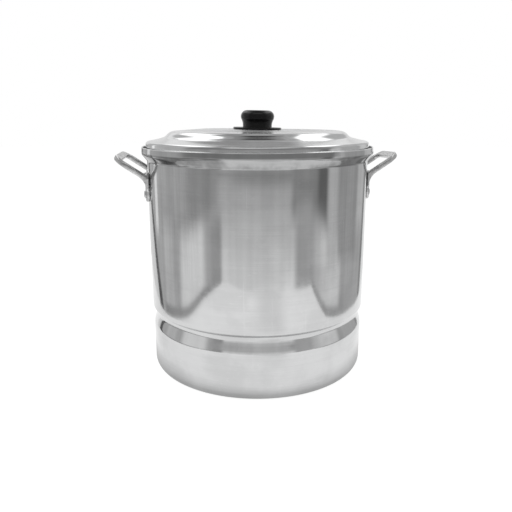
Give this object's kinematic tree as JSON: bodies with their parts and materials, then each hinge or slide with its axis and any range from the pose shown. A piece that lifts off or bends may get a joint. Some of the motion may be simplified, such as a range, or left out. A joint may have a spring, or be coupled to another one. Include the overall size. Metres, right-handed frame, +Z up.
{
  "type": "steamer pot",
  "caption": "Tall round aluminium steamer pot with an inner ledge and loose rack, riveted cast loop handles and a shallow domed lid with a black knob.",
  "frame": {"origin": "centre of the flat base, on the surface that the pot stands on", "axes": "+Z up along the pot's axis, +X towards the right handle, -Y towards the front"},
  "size_m": [0.3816, 0.3148, 0.3568],
  "materials": {
    "satin_aluminium": "satin, spun",
    "polished_aluminium": "polished",
    "mill_aluminium": "mill, matt",
    "cast_aluminium": "rough cast",
    "rivet_aluminium": "satin",
    "black_phenolic": "gloss",
    "insert_brass": "machined",
    "plated_steel": "zinc plated"
  },
  "bodies": {
    "pot": {"pot_body": "satin_aluminium", "handle_left": "cast_aluminium", "handle_right": "cast_aluminium", "handle_left_front_rivets": "rivet_aluminium", "handle_left_rear_rivets": "rivet_aluminium", "handle_right_front_rivets": "rivet_aluminium", "handle_right_rear_rivets": "rivet_aluminium"},
    "rack": {"steamer_rack": "mill_aluminium"},
    "lid": {"lid": "polished_aluminium", "knob_guard": "black_phenolic", "lid_knob": "black_phenolic", "knob_insert": "insert_brass", "knob_washer": "plated_steel", "knob_screw": "plated_steel"}
  },
  "joints": [
    {"name": "lid_lift", "type": "slide", "parent": "pot", "child": "lid", "axis": [0, 0, 1], "range_m": [0, 0.5]},
    {"name": "rack_lift", "type": "slide", "parent": "pot", "child": "rack", "axis": [0, 0, 1], "range_m": [0, 0.36]}
  ],
  "couplings": [
    {"joint": "rack_lift", "follows": "lid_lift", "ratio": 0.72}
  ]
}
